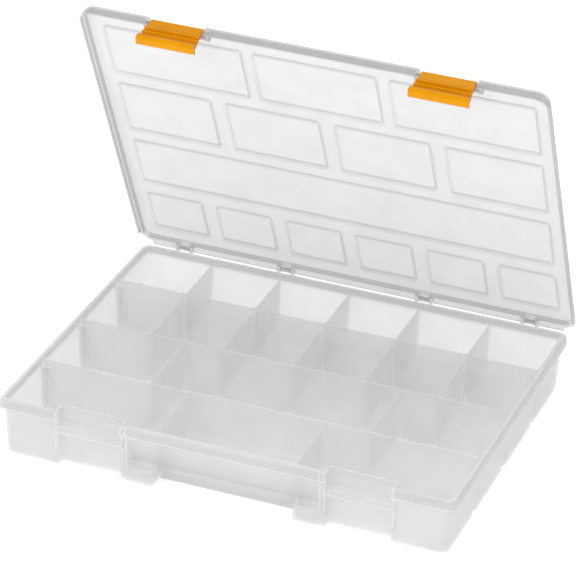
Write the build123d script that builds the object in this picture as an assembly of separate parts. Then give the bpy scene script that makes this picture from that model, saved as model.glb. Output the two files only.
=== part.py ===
"""Parts sorting tray: a moulded compartment base, a hinged lid and two snap latches on steel pins.

Millimetres, +Z up. The origin is the centre of the tray's underside, the front is towards -Y.
The lid and latches are drawn closed and then turned to the open pose that the model rests in.
"""
import os

from build123d import *

# Whole tray
WIDTH = 370.0
DEPTH = 292.0
BASE_H = 48.0
CORNER_R = 9.0
FRONT = -DEPTH / 2
BACK = DEPTH / 2

# Base walls and rim
WALL = 1.6
FLOOR = 1.8
WALL_INSET = 3.4
DRAFT = 2.5
FOOT_ROUND = 2.0
FLANGE_T = 2.0
SKIRT_H = 7.2
SKIRT_T = 1.3
RIM_ROUND = 3.0
BEAD = 0.5
BEAD_H = 1.1

# Compartments: the three long walls, and the number of compartments in each row, front to back
ROW_WALLS = (FRONT + 75.5, FRONT + 149.0, FRONT + 223.0)
SIX_ACROSS = (-120.2, -60.1, 0.0, 60.1, 120.2)
ROW_DIVIDERS = ((-56.0, 56.0), (-90.5, 90.5), SIX_ACROSS, SIX_ACROSS)
DIVIDER_T = 1.3
ROW_WALL_TOP = BASE_H - 1.2
LOW_DIVIDER_TOP = ROW_WALL_TOP - 3.0
BACK_DIVIDER_TOP = ROW_WALL_TOP - 1.5
TOP_STEPS = ((-134.0, -65.0, 0.7), (-65.0, -52.6, 1.4), (110.0, 124.5, 1.2))
CELL_R = 3.0
CELL_FLOOR_R = 2.2

# Grooves between the rows, moulded into the two end walls: upright behind, flaring forward to the floor
GROOVE_DEPTH = 7.5
GROOVE_TOP = BASE_H - SKIRT_H
GROOVE_FRONT = ((16.0, 0.0), (12.5, 1.0), (8.8, 4.5), (6.8, 10.0), (2.4, GROOVE_TOP))

# Latch recesses in the front wall, with the ledge that each latch hooks under
LATCH_X = 109.0
RECESS_W = 52.5
RECESS_DEPTH = 13.0
LEDGE_TOP = 34.0
LEDGE_FRONT = 3.0
LEDGE_LIP_H = 5.0

# Grip under the front rim: a sloping wall that fingers reach behind, with a foot at each end
GRIP_HALF = 77.5
GRIP_WALL = ((5.0, BASE_H - FLANGE_T), (6.0, 36.0), (12.5, 20.0), (20.0, 4.6), (20.0, 0.0))
GRIP_FLOOR = 11.5
FOOT_INNER = 57.0
FOOT_OUTER = GRIP_HALF + 1.0
FOOT_H = 13.0
FOOT_FRONT = 5.6
POCKET_HALF = 54.5

# Lid
LID_GAP = 0.3
LID_WIDTH = 374.6
LID_FRONT = FRONT - 1.5
LID_TOP = 55.0
LID_T = 1.9
LID_SKIRT_T = 1.6
LID_ROUND = 2.4
LIP_T = 1.3
LIP_BOTTOM = 45.2
LIP_TOP = 49.5
BACK_FLANGE = 6.7
PANEL_DEPTH = 2.0
PANEL_BEVEL = 1.8
PANEL_MARGIN = 10.0
PANEL_GAP = 11.5
PANEL_ROWS = ((FRONT + 19.5, FRONT + 76.3), (FRONT + 89.6, FRONT + 148.2),
              (FRONT + 162.0, FRONT + 216.5), (FRONT + 232.0, FRONT + 278.0))
PANEL_COUNTS = (3, 4, 1, 6)
FRONT_PANEL_GAPS = ((-60.5, -52.5), (49.0, 58.0))
PANEL_R = 2.0

# Hinge: moulded pins on the base, barrels on the lid
HINGE_X = (-150.0, -60.0, 60.0, 150.0)
HINGE_Y = BACK + 3.2
HINGE_Z = BASE_H + 1.0
HINGE_PIN_R = 1.4
HINGE_BORE_R = 1.48
BARREL_R = 2.7
BARREL_LENGTH = 9.0
LUG_R = 2.8
LUG_T = 2.2
LUG_GAP = 0.5

# Latches and their pins
NOTCH_W = 47.0
NOTCH_DEPTH = 8.0
PIN_Y = FRONT + 3.6
PIN_Z = 51.4
PIN_R = 1.2
PIN_BORE_R = 1.27
PIN_LENGTH = 52.0
EAR_T = 3.2
EAR_DEPTH = 7.2
LATCH_TOP = 53.6
LATCH_BOTTOM = 26.4
LATCH_T = 1.8
LATCH_FACE = FRONT + 0.2
LATCH_TOP_W = 43.0
LATCH_BOTTOM_W = 48.0
LATCH_BARREL_R = 2.7
HOOK_REACH = 5.4
HOOK_T = 2.2
# The latch's outer face below its flat top part: (outward, z) down over two ridges to the thumb roll
LATCH_RIDGES = ((0.0, 43.4), (-1.4, 42.6), (-1.7, 41.6), (-1.4, 40.7), (0.6, 39.9), (0.6, 38.9),
                (-0.9, 38.1), (-1.2, 37.3), (-0.9, 36.5), (0.6, 35.8), (0.6, 33.8), (-0.9, 33.1),
                (-2.2, 31.8), (-2.8, 30.2), (-2.7, 28.4), (-2.0, 27.2), (-0.8, 26.4))

# Open pose
LID_OPEN = 62.0
LATCH_OPEN = 12.0


def block(x0, x1, y0, y1, z0, z1):
    """A box between two corners."""
    return Pos((x0 + x1) / 2, (y0 + y1) / 2, (z0 + z1) / 2) * Box(x1 - x0, y1 - y0, z1 - z0)


def slab(width, depth, radius, z0, z1, middle=0.0):
    """A flat slab with rounded corners, with the given middle in Y."""
    return Pos(0, middle, z0) * extrude(RectangleRounded(width, depth, radius), z1 - z0)


def tapered(width, depth, radius, z1):
    """A block from the underside up to z1 whose four walls lean out by DRAFT on the way."""
    foot_outline = RectangleRounded(width - 2 * DRAFT, depth - 2 * DRAFT, radius)
    return loft([foot_outline, Pos(0, 0, z1) * RectangleRounded(width, depth, radius)])


def along_x(points, x0, x1):
    """A prism along X with the given (y, z) outline."""
    outline = Polygon(*points, align=None)
    return Pos(x0, 0, 0) * extrude(Plane.YZ * outline, x1 - x0, dir=(1, 0, 0))


def rod_x(radius, x0, x1, y, z):
    """A round bar along X."""
    return Pos((x0 + x1) / 2, y, z) * Rot(0, 90, 0) * Cylinder(radius, x1 - x0)


def groove(side, row_y, grow=0.0):
    """The groove in one end wall in front of a row wall, or the same space grown by a wall."""
    outer = WIDTH / 2 - WALL_INSET
    behind = row_y if grow else row_y - DIVIDER_T / 2
    flare = [(row_y - forward - grow, z + grow) for forward, z in GROOVE_FRONT]
    points = [(behind, -1.0), (flare[0][0], -1.0)] + flare + [(behind, flare[-1][1])]
    x0, x1 = outer - GROOVE_DEPTH - grow, outer + 1.0
    if side < 0:
        x0, x1 = -x1, -x0
    return along_x(points, x0, x1)


def recess(centre, grow=0.0):
    """The space that a latch hangs in, or the same space grown by a wall."""
    half = RECESS_W / 2 + grow
    return block(centre - half, centre + half, FRONT - 1, FRONT + RECESS_DEPTH + grow, -1, BASE_H + 1)


def grip(grow=0.0):
    """The space under the front rim that fingers reach into, or the same space grown by a wall."""
    wall = [(FRONT + y + grow, z) for y, z in GRIP_WALL]
    wall[0] = (wall[0][0], BASE_H + 1 if grow else wall[0][1])
    wall[-1] = (wall[-1][0], -1.0)
    outline = [(FRONT - 1, -1.0)] + wall[::-1] + [(FRONT - 1, wall[0][1])]
    return along_x(outline, -GRIP_HALF - grow, GRIP_HALF + grow)


def compartment(x0, x1, y0, y1, floor):
    """The hollow of one compartment, with rounded corners and floor."""
    hollow = Pos((x0 + x1) / 2, (y0 + y1) / 2, floor) * extrude(
        RectangleRounded(x1 - x0, y1 - y0, CELL_R), BASE_H + 1 - floor)
    return fillet(hollow.faces().sort_by(Axis.Z)[0].edges(), CELL_FLOOR_R)


def compartments():
    """Every compartment's hollow, row by row from the front."""
    inner_x = WIDTH / 2 - WALL_INSET - WALL
    inner_y = DEPTH / 2 - WALL_INSET - WALL
    half_wall = DIVIDER_T / 2
    row_edges = (-inner_y - half_wall,) + ROW_WALLS + (inner_y + half_wall,)
    hollows = []
    for row, dividers in enumerate(ROW_DIVIDERS):
        edges = (-inner_x - half_wall,) + dividers + (inner_x + half_wall,)
        for column, (left, right) in enumerate(zip(edges, edges[1:])):
            over_grip = row == 0 and column == 1
            floor = GRIP_FLOOR if over_grip else FLOOR
            hollows.append(compartment(left + half_wall, right - half_wall, row_edges[row] + half_wall,
                                       row_edges[row + 1] - half_wall, floor))
    return hollows


def rim_block():
    """The rim's outer shape, filled in: a rounded band with a bead along its lower edge."""
    z0 = BASE_H - SKIRT_H
    band = slab(WIDTH - 2 * BEAD, DEPTH - 2 * BEAD, CORNER_R - BEAD, z0, BASE_H)
    band = fillet(band.faces().sort_by(Axis.Z)[-1].edges(), RIM_ROUND)
    return band + slab(WIDTH, DEPTH, CORNER_R, z0, z0 + BEAD_H)


def rim():
    """The flange round the top edge and the skirt that hangs from it."""
    inset = 2 * (SKIRT_T + BEAD)
    channel = slab(WIDTH - inset, DEPTH - inset, CORNER_R - inset / 2, BASE_H - SKIRT_H - 1,
                   BASE_H - FLANGE_T)
    return rim_block() - channel


def ledge(centre):
    """The shelf across a latch recess, with the lip that the latch hooks under."""
    half = RECESS_W / 2 + 1
    front = FRONT + LEDGE_FRONT
    back = FRONT + RECESS_DEPTH + WALL / 2
    shelf = block(centre - half, centre + half, front, back, LEDGE_TOP - WALL, LEDGE_TOP)
    lip = block(centre - half, centre + half, front, front + WALL, LEDGE_TOP - LEDGE_LIP_H, LEDGE_TOP)
    return shelf + lip


def foot(side):
    """The upright lip at one lower corner of the grip."""
    front = FRONT + FOOT_FRONT
    back = FRONT + GRIP_WALL[-1][0] + WALL
    shape = block(FOOT_INNER, FOOT_OUTER, front, front + WALL, 0, FOOT_H)
    shape += block(FOOT_INNER, FOOT_OUTER, front, back, 0, WALL)
    for near in (FOOT_INNER, FOOT_OUTER - WALL):
        shape += block(near, near + WALL, front, back, 0, FOOT_H)
    return shape if side > 0 else mirror(shape, Plane.YZ)


def hinge_lugs(centre):
    """Two lugs behind the rim with the moulded pin between them."""
    reach = BARREL_LENGTH / 2 + LUG_GAP
    shape = rod_x(HINGE_PIN_R, centre - reach - 1, centre + reach + 1, HINGE_Y, HINGE_Z)
    for side in (-1, 1):
        near, far = sorted((centre + side * reach, centre + side * (reach + LUG_T)))
        arm = along_x(((BACK - 1, BASE_H - SKIRT_H), (HINGE_Y, BASE_H - 4.5), (HINGE_Y + LUG_R, HINGE_Z),
                       (HINGE_Y, HINGE_Z), (BACK - 1, BASE_H - FLANGE_T)), near, far)
        shape += arm + rod_x(LUG_R, near, far, HINGE_Y, HINGE_Z)
    return shape


def base_tray():
    """The compartment base, one moulding."""
    inset = 2 * WALL_INSET
    body = tapered(WIDTH - inset, DEPTH - inset, CORNER_R - WALL_INSET + 1.5, BASE_H - FLANGE_T / 2)
    body = fillet(body.faces().sort_by(Axis.Z)[0].edges(), FOOT_ROUND)
    body -= grip()
    for centre in (-LATCH_X, LATCH_X):
        body -= recess(centre)
    for side in (-1, 1):
        for row_y in ROW_WALLS:
            body -= groove(side, row_y)
    outline = rim_block()
    frame = rim()
    for centre in (-LATCH_X, LATCH_X):
        frame -= recess(centre)
    # The wall behind each recess rises to the rim's height
    tray = body + frame
    for centre in (-LATCH_X, LATCH_X):
        half = RECESS_W / 2 + WALL
        back = FRONT + RECESS_DEPTH
        tray += block(centre - half, centre + half, back, back + WALL, BASE_H - 2, BASE_H)
        for side in (-1, 1):
            near, far = sorted((centre + side * half, centre + side * (half - WALL)))
            tray += block(near, far, FRONT, back + WALL, BASE_H - SKIRT_H, BASE_H) & outline
    # Hollow it, leaving a wall round every space that comes in from outside
    keep = grip(WALL)
    for centre in (-LATCH_X, LATCH_X):
        keep += recess(centre, WALL)
    for side in (-1, 1):
        for row_y in ROW_WALLS:
            keep += groove(side, row_y, WALL)
    inset = 2 * (WALL_INSET + WALL)
    inside = tapered(WIDTH - inset, DEPTH - inset, CORNER_R - WALL_INSET, BASE_H + 1)
    for hollow in compartments():
        tray -= (hollow & inside) - keep
    # Space under the raised floor over the grip
    tray -= block(-POCKET_HALF, POCKET_HALF, FRONT + GRIP_WALL[-1][0] + WALL, ROW_WALLS[0] - 3.0, -1,
                  GRIP_FLOOR - FLOOR)
    # The dividing walls stop a little below the rim
    inner_x = WIDTH / 2 - WALL_INSET - WALL
    inner_y = DEPTH / 2 - WALL_INSET - WALL
    row_edges = (-inner_y,) + ROW_WALLS + (inner_y,)
    for wall_y in ROW_WALLS:
        tray -= block(-inner_x, inner_x, wall_y - DIVIDER_T, wall_y + DIVIDER_T, ROW_WALL_TOP, BASE_H + 1)
    y0, y1 = ROW_WALLS[0] - DIVIDER_T, ROW_WALLS[0] + DIVIDER_T
    for x0, x1, drop in TOP_STEPS:
        tray -= block(x0, x1, y0, y1, ROW_WALL_TOP - drop, BASE_H)
    for row, dividers in enumerate(ROW_DIVIDERS):
        top = BACK_DIVIDER_TOP if row == len(ROW_DIVIDERS) - 1 else LOW_DIVIDER_TOP
        y0 = row_edges[row] + (WALL if row == 0 else DIVIDER_T / 2)
        y1 = row_edges[row + 1] - DIVIDER_T / 2
        for x in dividers:
            tray -= block(x - DIVIDER_T, x + DIVIDER_T, y0, y1, top, BASE_H + 1)
    for centre in (-LATCH_X, LATCH_X):
        tray += ledge(centre)
    for side in (-1, 1):
        tray += foot(side)
    for centre in HINGE_X:
        tray += hinge_lugs(centre)
    return tray


def lid_panels():
    """The outline of every panel in the lid, as (x, y, length, width)."""
    half = WIDTH / 2 - PANEL_MARGIN
    panels = []
    for (y0, y1), count in zip(PANEL_ROWS, PANEL_COUNTS):
        if count == 3:
            left, right = FRONT_PANEL_GAPS
            spans = ((-half, left[0]), (left[1], right[0]), (right[1], half))
        else:
            size = (2 * half - (count - 1) * PANEL_GAP) / count
            starts = [-half + i * (size + PANEL_GAP) for i in range(count)]
            spans = [(start, start + size) for start in starts]
        for x0, x1 in spans:
            panels.append(((x0 + x1) / 2, (y0 + y1) / 2, x1 - x0, y1 - y0))
    return panels


def stepped_panels(pan):
    """Sets each panel of the lid inwards, with a bevelled edge on its inner side."""
    inner = LID_TOP - LID_T
    for x, y, length, width in lid_panels():
        outline = RectangleRounded(length + PANEL_BEVEL, width + PANEL_BEVEL, PANEL_R + PANEL_BEVEL / 2)
        boss = Pos(x, y, inner - PANEL_DEPTH) * extrude(outline, PANEL_DEPTH + LID_T / 2)
        pan += chamfer(boss.faces().sort_by(Axis.Z)[0].edges(), PANEL_BEVEL)
        outline = RectangleRounded(length - PANEL_BEVEL, width - PANEL_BEVEL, PANEL_R)
        pan -= Pos(x, y, LID_TOP - PANEL_DEPTH) * extrude(outline, PANEL_DEPTH + 1)
    return pan


def lid_lip(depth, middle):
    """The lip that hangs outside the base's rim at the front and ends, and the flange behind."""
    radius = CORNER_R + LIP_T
    lip = slab(LID_WIDTH + 2 * LIP_T, depth + 2 * LIP_T, radius + LIP_T, LIP_BOTTOM, LIP_TOP, middle)
    lip -= slab(LID_WIDTH, depth, radius, LIP_BOTTOM - 1, LIP_TOP + 1, middle)
    reach = LID_WIDTH / 2 + 5
    lip -= block(-reach, reach, BACK - 9, BACK + 5, LIP_BOTTOM - 1, BASE_H + LID_GAP)
    half = LID_WIDTH / 2 - CORNER_R
    lip += block(-half, half, BACK - 0.5, BACK + BACK_FLANGE, BASE_H + LID_GAP, LIP_TOP)
    clear = BARREL_LENGTH / 2 + 2 * LUG_GAP + LUG_T
    for centre in HINGE_X:
        lip -= block(centre - clear, centre + clear, BACK - 1, BACK + 9, BASE_H, LIP_TOP + 1)
    return lip


def lid_closed():
    """The lid as it lies when shut: a shallow pan, its hinge barrels and the ears for the latch pins."""
    bottom = BASE_H + LID_GAP
    depth, middle = BACK - LID_FRONT, (BACK + LID_FRONT) / 2
    radius = CORNER_R + LIP_T
    pan = slab(LID_WIDTH, depth, radius, bottom, LID_TOP, middle)
    pan = fillet(pan.faces().sort_by(Axis.Z)[-1].edges(), LID_ROUND)
    pan -= slab(LID_WIDTH - 2 * LID_SKIRT_T, depth - 2 * LID_SKIRT_T, radius - LID_SKIRT_T, bottom - 1,
                LID_TOP - LID_T, middle)
    pan = stepped_panels(pan) + lid_lip(depth, middle)
    for centre in (-LATCH_X, LATCH_X):
        half = NOTCH_W / 2
        inner = FRONT + NOTCH_DEPTH
        pan -= block(centre - half, centre + half, FRONT - 5, inner, LIP_BOTTOM - 1, LID_TOP + 1)
        for side in (-1, 1):
            near, far = sorted((centre + side * half, centre + side * (half + EAR_T)))
            pan += block(near, far, LID_FRONT + 0.6, FRONT + EAR_DEPTH + 1.5, bottom, LID_TOP - 0.8)
        half += 1
        pan += block(centre - half, centre + half, inner, inner + LID_SKIRT_T, bottom + 1.5, LID_TOP - 0.8)
        pan -= rod_x(PIN_R, centre - PIN_LENGTH / 2, centre + PIN_LENGTH / 2, PIN_Y, PIN_Z)
    for centre in HINGE_X:
        x0, x1 = centre - BARREL_LENGTH / 2, centre + BARREL_LENGTH / 2
        arm = along_x(((BACK - 1, BASE_H + 0.4), (HINGE_Y, BASE_H + 0.4), (HINGE_Y, HINGE_Z + BARREL_R),
                       (BACK - 1, HINGE_Z + BARREL_R + 1.8)), x0, x1)
        barrel = rod_x(BARREL_R, x0, x1, HINGE_Y, HINGE_Z)
        pan += arm + barrel
        pan -= rod_x(HINGE_BORE_R, x0 - 1, x1 + 1, HINGE_Y, HINGE_Z)
    return pan


def latch_pin_closed(centre):
    """A steel pin through a latch, held in the lid's ears."""
    return rod_x(PIN_R, centre - PIN_LENGTH / 2, centre + PIN_LENGTH / 2, PIN_Y, PIN_Z)


def latch_closed(centre):
    """A latch as it sits when hooked under its ledge."""
    back = LATCH_FACE + LATCH_T
    reach = FRONT + HOOK_REACH
    face = [(LATCH_FACE + outward, z) for outward, z in LATCH_RIDGES]
    side = [(reach - 1.0, LATCH_BOTTOM), (reach, LATCH_BOTTOM + 1.0), (reach, LATCH_BOTTOM + HOOK_T),
            (back, LATCH_BOTTOM + HOOK_T), (back, LATCH_TOP), (LATCH_FACE + 1.0, LATCH_TOP),
            (LATCH_FACE, LATCH_TOP - 1.0)]
    shape = along_x(side + face, centre - LATCH_BOTTOM_W, centre + LATCH_BOTTOM_W)
    top, bottom = LATCH_TOP_W / 2, LATCH_BOTTOM_W / 2
    front_view = Polygon((centre - top, LATCH_TOP + 1), (centre + top, LATCH_TOP + 1),
                         (centre + top, PIN_Z - 4), (centre + bottom, LATCH_BOTTOM - 1),
                         (centre - bottom, LATCH_BOTTOM - 1), (centre - top, PIN_Z - 4), align=None)
    shape &= Pos(0, FRONT - 20, 0) * extrude(Plane.XZ * front_view, 40, dir=(0, 1, 0))
    shape += rod_x(LATCH_BARREL_R, centre - top, centre + top, PIN_Y, PIN_Z)
    shape -= rod_x(PIN_BORE_R, centre - LATCH_TOP_W, centre + LATCH_TOP_W, PIN_Y, PIN_Z)
    return shape


def open_lid(shape):
    """Turn something that is drawn shut with the lid to the open pose."""
    return shape.rotate(Axis((0, HINGE_Y, HINGE_Z), (1, 0, 0)), -LID_OPEN)


def open_latch(shape):
    """Swing a latch out on its pin, and then turn it with the lid."""
    return open_lid(shape.rotate(Axis((0, PIN_Y, PIN_Z), (1, 0, 0)), -LATCH_OPEN))


nodes = {"base_tray": base_tray(), "lid": open_lid(lid_closed())}
for name, centre in (("left", -LATCH_X), ("right", LATCH_X)):
    nodes["latch_" + name] = open_latch(latch_closed(centre))
    nodes["latch_pin_" + name] = open_lid(latch_pin_closed(centre))

os.makedirs("parts", exist_ok=True)
for node, shape in nodes.items():
    export_step(shape, "parts/" + node + ".step")
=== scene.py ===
"""Looks for the parts sorting tray: milky base, clear lid, orange latches, and a plain studio."""
import math

import bpy
from mathutils import Matrix, Vector


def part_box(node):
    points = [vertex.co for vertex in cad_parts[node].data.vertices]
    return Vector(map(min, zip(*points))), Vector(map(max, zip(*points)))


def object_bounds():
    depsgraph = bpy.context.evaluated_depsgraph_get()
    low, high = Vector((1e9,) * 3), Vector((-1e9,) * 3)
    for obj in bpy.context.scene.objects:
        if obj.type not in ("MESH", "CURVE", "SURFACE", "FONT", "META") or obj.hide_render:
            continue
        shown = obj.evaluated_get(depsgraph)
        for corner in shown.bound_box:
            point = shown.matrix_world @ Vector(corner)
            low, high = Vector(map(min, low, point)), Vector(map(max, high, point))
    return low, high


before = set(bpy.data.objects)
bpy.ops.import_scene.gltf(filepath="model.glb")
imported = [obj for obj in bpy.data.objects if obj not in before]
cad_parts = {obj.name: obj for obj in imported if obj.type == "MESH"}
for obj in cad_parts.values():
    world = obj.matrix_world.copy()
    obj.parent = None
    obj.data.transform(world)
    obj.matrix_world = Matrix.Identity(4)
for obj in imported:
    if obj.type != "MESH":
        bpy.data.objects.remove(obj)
cad_low, cad_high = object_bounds()

# Camera: degrees, metres, and millimetres for the lens and sensor
CAMERA_AZIMUTH = 19.522
CAMERA_ELEVATION = 27.567
CAMERA_ROLL = 2.72
CAMERA_TARGET = Vector((-0.0822, 0.2199, 0.0))
CAMERA_DISTANCE = 2.9731
CAMERA_LENS = 218.57
CAMERA_SENSOR = 36.0
CAMERA_CLIP = 50.0

# The base's ends and front, the heights of its rim, bead and wall tops, and how far in they reach, in metres
tray_low, tray_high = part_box("base_tray")
WALL_TOP_FROM = tray_low[2] + 0.0455
WALL_TOP_BLEND = 0.0005
BEAD_TOP = tray_low[2] + 0.0420
RIM_BOTTOM = tray_low[2] + 0.0402
TRAY_END, TRAY_FRONT = tray_high[0], tray_low[1]
BEAD_REACH = 0.0004
RIM_REACH = 0.0053

# The latch recesses, grip, feet and ledges, in metres: X from the middle, and Y inwards from the front
RECESS_MIDDLE, RECESS_HALF = 0.109, 0.02625
GRIP_HALF = 0.0775
GRIP_MIDDLE, GRIP_REACH = 0.0140, 0.0088
GRIP_DARK_AT, GRIP_LIGHT_AT = tray_low[2] + 0.006, tray_low[2] + 0.038
FOOT_INNER, FOOT_TOP = 0.0568, tray_low[2] + 0.0132
CORNER_WIDTH = 0.0016
CORNER_REACH = 0.0052
LEDGE_EDGE = tray_low[2] + 0.0290
LEDGE_EDGE_HEIGHT = 0.0009
LEDGE_REACH = 0.0048

# The two ways that the lid's shaded walls face as it stands open: right, and away from the hinge
LID_OPEN = math.radians(62.0)
SHADED_RIGHT = (1.0, 0.0, 0.0)
SHADED_UP = (0.0, -math.cos(LID_OPEN), math.sin(LID_OPEN))

# Colours, linear: a pair is the two ends of a ramp
MILKY = ((0.90, 0.90, 0.898), (0.94, 0.94, 0.938))
MILKY_TINT = (0.96, 0.96, 0.959)
# A little painted shade on the rim, where two walls lie close together and the plastic also hides more
RIM_SHADE_COLOUR = (0.86, 0.86, 0.858)
# Painted shade, darker down the grip's sloping wall
GRIP_SHADE_COLOUR = (0.64, 0.64, 0.64)
# Painted highlights on the upright corners of the recesses and grip, and on the ledges' edges
CORNER_HIGHLIGHT_COLOUR = (0.95, 0.95, 0.945)
# Painted highlights on the thin wall tops and on the bead under the rim
LIT_COLOUR = (0.96, 0.96, 0.955)
CLEAR = ((0.77, 0.772, 0.777), (0.83, 0.832, 0.837))
CLEAR_TINT = (0.957, 0.958, 0.96)
SHADED_COLOUR = (0.48, 0.485, 0.49)
ORANGE = ((0.80, 0.32, 0.001), (0.87, 0.355, 0.002))
# Deeper orange seen edge on: partly the plastic's own depth of colour, partly painted shade on the ridges'
# flanks
ORANGE_EDGE_SHADE = (0.40, 0.11, 0.0)
ORANGE_GLINT = (1.0, 0.62, 0.12)
STEEL = ((0.42, 0.45, 0.50), (0.58, 0.60, 0.64))
CARD = ((0.93, 0.93, 0.93), (0.95, 0.95, 0.95))

# Studio: the floor's half width and how far it lies under the tray, in metres
FLOOR_HALF = 8.0
FLOOR_DROP = 0.0004
# The floor's own light near the tray and far away, and the distances between which it changes
FLOOR_GLOW = (0.34, 0.52)
FLOOR_GLOW_FROM, FLOOR_GLOW_TO = 0.25, 1.0
SURROUND_LIGHT = 0.58


def make_camera():
    """A camera aimed with a small roll."""
    azimuth, elevation = math.radians(CAMERA_AZIMUTH), math.radians(CAMERA_ELEVATION)
    forward = Vector((-math.sin(azimuth) * math.cos(elevation), math.cos(azimuth) * math.cos(elevation),
                      -math.sin(elevation)))
    right = Vector((math.cos(azimuth), math.sin(azimuth), 0.0))
    right = Matrix.Rotation(-math.radians(CAMERA_ROLL), 3, forward) @ right
    up = right.cross(forward)
    data = bpy.data.cameras.new("photo_camera")
    data.sensor_width = CAMERA_SENSOR
    data.lens = CAMERA_LENS
    data.clip_end = CAMERA_CLIP
    camera = bpy.data.objects.new("photo_camera", data)
    bpy.context.collection.objects.link(camera)
    place = Matrix((right, up, -forward)).transposed().to_4x4()
    place.translation = CAMERA_TARGET - forward * CAMERA_DISTANCE
    camera.matrix_world = place
    bpy.context.scene.camera = camera


class Nodes:
    """A short way to build a material's node tree."""

    def __init__(self, name):
        self.material = bpy.data.materials.new(name)
        self.material.use_nodes = True
        self.tree = self.material.node_tree
        self.tree.nodes.clear()
        self.output = self.tree.nodes.new("ShaderNodeOutputMaterial")

    def add(self, kind, **values):
        """A node with its sockets set by name, or by number as i0, i1 and so on.

        A value is a number or another node's socket. Any other name is one of the node's settings.
        """
        node = self.tree.nodes.new(kind)
        for key, value in values.items():
            socket = node.inputs[int(key[1:])] if key[0] == "i" and key[1:].isdigit() else None
            if socket is None:
                socket = next((s for s in node.inputs if s.name.replace(" ", "_") == key), None)
            if socket is None:
                setattr(node, key, value)
            elif isinstance(value, bpy.types.NodeSocket):
                self.tree.links.new(value, socket)
            else:
                socket.default_value = value
        return node

    def noise(self, scale, detail=3.0):
        """Noise in the object's own space, which is in metres."""
        place = self.add("ShaderNodeTexCoord").outputs["Object"]
        return self.add("ShaderNodeTexNoise", Vector=place, Scale=scale, Detail=detail).outputs["Fac"]

    def ramp(self, factor, low, high):
        """A colour that goes from low to high as the factor goes through its middle part."""
        node = self.add("ShaderNodeValToRGB", Fac=factor)
        stops = node.color_ramp.elements
        stops[0].position, stops[1].position = 0.3, 0.7
        stops[0].color, stops[1].color = (*low, 1.0), (*high, 1.0)
        return node.outputs["Color"]

    def between(self, factor, low, high, start=0.3, stop=0.7):
        """A number that goes from low to high as the factor goes from start to stop."""
        node = self.add("ShaderNodeMapRange", Value=factor, From_Min=start, From_Max=stop,
                        To_Min=low, To_Max=high)
        return node.outputs["Result"]

    def maths(self, operation, a, b, **more):
        """One sum on two or three numbers or sockets."""
        return self.add("ShaderNodeMath", operation=operation, i0=a, i1=b, **more).outputs[0]

    def dot(self, a, b):
        """How much two directions agree."""
        return self.add("ShaderNodeVectorMath", operation="DOT_PRODUCT", i0=a, i1=b).outputs["Value"]

    def place(self):
        """X, Y and Z in the object's own space, in metres."""
        place = self.add("ShaderNodeTexCoord").outputs["Object"]
        return self.add("ShaderNodeSeparateXYZ", Vector=place).outputs

    def facing(self):
        """0 where the surface is seen square on, and 1 where it is seen edge on."""
        return self.add("ShaderNodeLayerWeight", Blend=0.5).outputs["Facing"]

    def blend(self, factor, a, b):
        """One colour towards another, which is given as numbers."""
        return self.add("ShaderNodeMix", data_type="RGBA", i0=factor, i6=a, i7=(*b, 1.0)).outputs[2]

    def bump(self, factor, strength, distance):
        """Relief from a height."""
        node = self.add("ShaderNodeBump", Height=factor, Strength=strength, Distance=distance)
        return node.outputs["Normal"]

    def finish(self, shader):
        """Connects the surface and gives the material."""
        self.tree.links.new(shader, self.output.inputs["Surface"])
        return self.material


def outside(n, place, reach):
    """A mask that is 1 within reach of the base's two ends, its front or its back."""
    ends = n.maths("GREATER_THAN", n.maths("ABSOLUTE", place["X"], 0.0), TRAY_END - reach)
    front_or_back = n.maths("GREATER_THAN", n.maths("ABSOLUTE", place["Y"], 0.0), -TRAY_FRONT - reach)
    return n.maths("MAXIMUM", ends, front_or_back)


def rim_band(n):
    """A mask that is 1 on the base's rim, where two walls lie close together; there the plastic hides more
    and takes a little painted shade.
    """
    place = n.place()
    return n.maths("MULTIPLY", outside(n, place, RIM_REACH), n.maths("GREATER_THAN", place["Z"], RIM_BOTTOM))


def lit_edges(n):
    """A mask for painted highlights on the base's thin wall tops and on the bead under its rim."""
    normal = n.add("ShaderNodeNewGeometry").outputs["True Normal"]
    up = n.add("ShaderNodeSeparateXYZ", Vector=normal).outputs["Z"]
    place = n.place()
    tops = n.maths("MULTIPLY", n.between(up, 0.0, 1.0, 0.8, 0.98),
                   n.between(place["Z"], 0.0, 1.0, WALL_TOP_FROM, WALL_TOP_FROM + WALL_TOP_BLEND))
    bead = n.maths("MULTIPLY", outside(n, place, BEAD_REACH), n.maths("LESS_THAN", place["Z"], BEAD_TOP))
    return n.maths("MAXIMUM", tops, bead)


def front_edge_highlights(n):
    """A mask for painted highlights on the upright corners of the recesses and grip, and on the ledges' lower
    edges.
    """
    place = n.place()
    aside = n.maths("ABSOLUTE", place["X"], 0.0)
    from_recess = n.maths("ABSOLUTE", n.maths("SUBTRACT", aside, RECESS_MIDDLE), 0.0)
    at_recess = n.maths("COMPARE", from_recess, RECESS_HALF + CORNER_WIDTH / 2, i2=CORNER_WIDTH / 2)
    at_grip = n.maths("COMPARE", aside, GRIP_HALF + CORNER_WIDTH / 2, i2=CORNER_WIDTH / 2)
    corners = n.maths("MULTIPLY", n.maths("MAXIMUM", at_recess, at_grip),
                      n.maths("LESS_THAN", place["Y"], TRAY_FRONT + CORNER_REACH))
    ledges = n.maths("COMPARE", place["Z"], LEDGE_EDGE + LEDGE_EDGE_HEIGHT / 2, i2=LEDGE_EDGE_HEIGHT / 2)
    ledges = n.maths("MULTIPLY", ledges, n.maths("LESS_THAN", from_recess, RECESS_HALF))
    ledges = n.maths("MULTIPLY", ledges, n.maths("LESS_THAN", place["Y"], TRAY_FRONT + LEDGE_REACH))
    return n.maths("MAXIMUM", corners, ledges)


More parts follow.
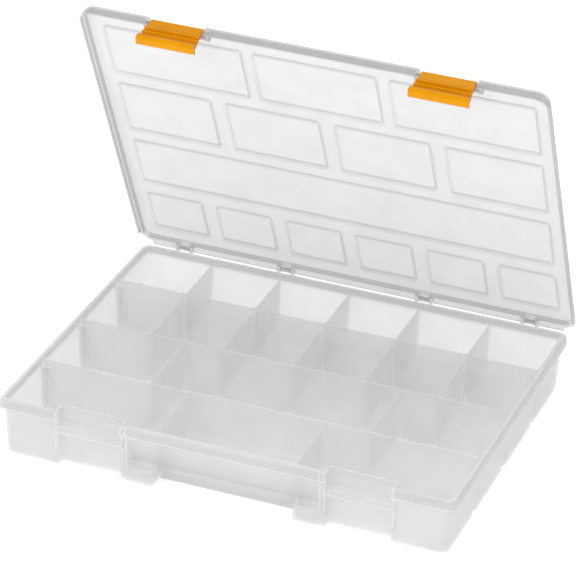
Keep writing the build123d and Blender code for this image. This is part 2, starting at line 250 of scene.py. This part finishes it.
def grip_shade(n):
    """A mask for painted shade that grows to 1 down the grip's sloping wall."""
    place = n.place()
    aside = n.maths("ABSOLUTE", place["X"], 0.0)
    between_feet = n.maths("MAXIMUM", n.maths("LESS_THAN", aside, FOOT_INNER),
                           n.maths("GREATER_THAN", place["Z"], FOOT_TOP))
    across = n.maths("MULTIPLY", n.maths("LESS_THAN", aside, GRIP_HALF), between_feet)
    near = n.maths("COMPARE", place["Y"], TRAY_FRONT + GRIP_MIDDLE, i2=GRIP_REACH)
    down = n.between(place["Z"], 1.0, 0.0, GRIP_DARK_AT, GRIP_LIGHT_AT)
    return n.maths("MULTIPLY", n.maths("MULTIPLY", across, near), down)


def shaded_walls(n):
    """A mask that is 1 on the lid's walls that face its shaded ways, and less on its bevels."""
    normal = n.add("ShaderNodeTexCoord").outputs["Normal"]
    most = n.maths("MAXIMUM", n.dot(normal, SHADED_RIGHT), n.dot(normal, SHADED_UP))
    return n.between(most, 0.0, 1.0, 0.35, 0.95)


def thin_plastic(name, colours, rough, hides, through, clear_tint, accents):
    """Moulded see-through plastic: it scatters light through its wall, and shows what is behind it.

    hides is how much it hides when seen square on and edge on, and through is the share of its light that
    comes through the wall. Each accent is a mask, a colour, how much the plastic hides where the mask is 1,
    and how far its colour goes to the accent's there.
    """
    n = Nodes(name)
    colour = n.ramp(n.noise(38.0), *colours)
    roughness = n.between(n.noise(120.0), rough, rough + 0.12)
    relief = n.bump(n.noise(900.0, 2.0), 0.1, 0.0002)
    opacity = n.between(n.facing(), *hides, 0.2, 0.95)
    for mask_of, accent, hidden, share in accents:
        mask = mask_of(n)
        colour = n.blend(n.maths("MULTIPLY", mask, share), colour, accent)
        opacity = n.maths("MAXIMUM", opacity, n.maths("MULTIPLY", mask, hidden))
    shell = n.add("ShaderNodeBsdfPrincipled", Base_Color=colour, Roughness=roughness, Normal=relief)
    shell.inputs["IOR"].default_value = 1.49
    glow = n.add("ShaderNodeBsdfTranslucent", Color=colour)
    body = n.add("ShaderNodeMixShader", i0=through, i1=shell.outputs[0], i2=glow.outputs[0])
    clear = n.add("ShaderNodeBsdfTransparent", Color=(*clear_tint, 1.0))
    surface = n.add("ShaderNodeMixShader", i0=opacity, i1=clear.outputs[0], i2=body.outputs[0])
    return n.finish(surface.outputs[0])


def orange_plastic():
    """Glossy opaque orange with a fine moulded grain, deeper where it is seen edge on: partly the plastic's
    own depth of colour, partly painted shade on the latch ridges' flanks.
    """
    n = Nodes("orange_plastic")
    colour = n.ramp(n.noise(90.0), *ORANGE)
    colour = n.blend(n.between(n.facing(), 0.0, 1.0, 0.30, 0.85), colour, ORANGE_EDGE_SHADE)
    roughness = n.between(n.noise(300.0), 0.2, 0.3)
    relief = n.bump(n.noise(1500.0, 2.0), 0.15, 0.0002)
    shader = n.add("ShaderNodeBsdfPrincipled", Base_Color=colour, Roughness=roughness, Normal=relief)
    shader.inputs["Specular IOR Level"].default_value = 0.45
    shader.inputs["Specular Tint"].default_value = (*ORANGE_GLINT, 1.0)
    shader.inputs["Subsurface Weight"].default_value = 0.08
    shader.inputs["Subsurface Radius"].default_value = (0.004, 0.0015, 0.0004)
    return n.finish(shader.outputs[0])


def pin_steel():
    """Drawn steel wire: fine streaks along the pin."""
    n = Nodes("pin_steel")
    place = n.add("ShaderNodeTexCoord").outputs["Object"]
    stretched = n.add("ShaderNodeMapping", Vector=place, Scale=(60.0, 2500.0, 2500.0)).outputs["Vector"]
    streaks = n.add("ShaderNodeTexNoise", Vector=stretched, Scale=1.0, Detail=3.0).outputs["Fac"]
    colour = n.ramp(streaks, *STEEL)
    shader = n.add("ShaderNodeBsdfPrincipled", Base_Color=colour, Roughness=n.between(streaks, 0.22, 0.4),
                   Normal=n.bump(streaks, 0.1, 0.0001))
    shader.inputs["Metallic"].default_value = 1.0
    return n.finish(shader.outputs[0])


def floor_material():
    """Matt white studio card that gives light itself, more so away from the tray, and keeps little shadow."""
    n = Nodes("studio_floor")
    colour = n.ramp(n.noise(3.0), *CARD)
    shader = n.add("ShaderNodeBsdfPrincipled", Base_Color=colour,
                   Roughness=n.between(n.noise(40.0), 0.85, 0.95))
    shader.inputs["Emission Color"].default_value = (1.0, 1.0, 1.0, 1.0)
    distance = n.add("ShaderNodeVectorMath", operation="LENGTH",
                     i0=n.add("ShaderNodeTexCoord").outputs["Object"]).outputs["Value"]
    glow = n.between(distance, *FLOOR_GLOW, FLOOR_GLOW_FROM, FLOOR_GLOW_TO)
    n.tree.links.new(glow, shader.inputs["Emission Strength"])
    return n.finish(shader.outputs[0])


def dress(node, material):
    """Gives a CAD node its material."""
    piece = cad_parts[node]
    piece.data.materials.clear()
    piece.data.materials.append(material)


def make_floor():
    """A wide pale floor that the tray stands on."""
    half, height = FLOOR_HALF, cad_low[2] - FLOOR_DROP
    mesh = bpy.data.meshes.new("studio_floor")
    corners = [(-half, -half, height), (half, -half, height), (half, half, height), (-half, half, height)]
    mesh.from_pydata(corners, [], [(0, 1, 2, 3)])
    floor = bpy.data.objects.new("studio_floor", mesh)
    bpy.context.collection.objects.link(floor)
    mesh.materials.append(floor_material())


def area_light(name, place, aim, size, power):
    """A soft square lamp, with its size in metres and its power in watts."""
    data = bpy.data.lights.new(name, "AREA")
    data.size = size
    data.energy = power
    lamp = bpy.data.objects.new(name, data)
    bpy.context.collection.objects.link(lamp)
    lamp.location = place
    lamp.rotation_mode = "QUATERNION"
    lamp.rotation_quaternion = (Vector(aim) - Vector(place)).to_track_quat("-Z", "Y")


def make_light():
    """An even white surround, with a soft key from the front left and a larger lamp overhead."""
    world = bpy.data.worlds.new("studio")
    world.use_nodes = True
    back = world.node_tree.nodes["Background"]
    back.inputs["Color"].default_value = (1.0, 1.0, 1.0, 1.0)
    back.inputs["Strength"].default_value = SURROUND_LIGHT
    bpy.context.scene.world = world
    area_light("key", (-1.1, -2.1, 1.5), (0.0, 0.0, 0.1), 1.2, 17.0)
    area_light("top", (0.2, 0.5, 2.2), (0.0, 0.1, 0.0), 2.2, 15.0)


milky = thin_plastic("milky_plastic", MILKY, rough=0.3, hides=(0.40, 0.60), through=0.55,
                     clear_tint=MILKY_TINT,
                     accents=[(rim_band, RIM_SHADE_COLOUR, 0.72, 0.8),
                              (grip_shade, GRIP_SHADE_COLOUR, 0.55, 0.7),
                              (front_edge_highlights, CORNER_HIGHLIGHT_COLOUR, 0.8, 1.0),
                              (lit_edges, LIT_COLOUR, 0.92, 1.0)])
clear = thin_plastic("clear_plastic", CLEAR, rough=0.12, hides=(0.24, 0.80), through=0.30,
                     clear_tint=CLEAR_TINT,
                     accents=[(shaded_walls, SHADED_COLOUR, 0.6, 0.9)])
orange = orange_plastic()
steel = pin_steel()
for node, material in (("base_tray", milky), ("lid", clear), ("latch_left", orange), ("latch_right", orange),
                       ("latch_pin_left", steel), ("latch_pin_right", steel)):
    dress(node, material)

make_floor()
make_light()
make_camera()
scene = bpy.context.scene
scene.view_settings.view_transform = "Standard"
scene.cycles.transparent_max_bounces = 24
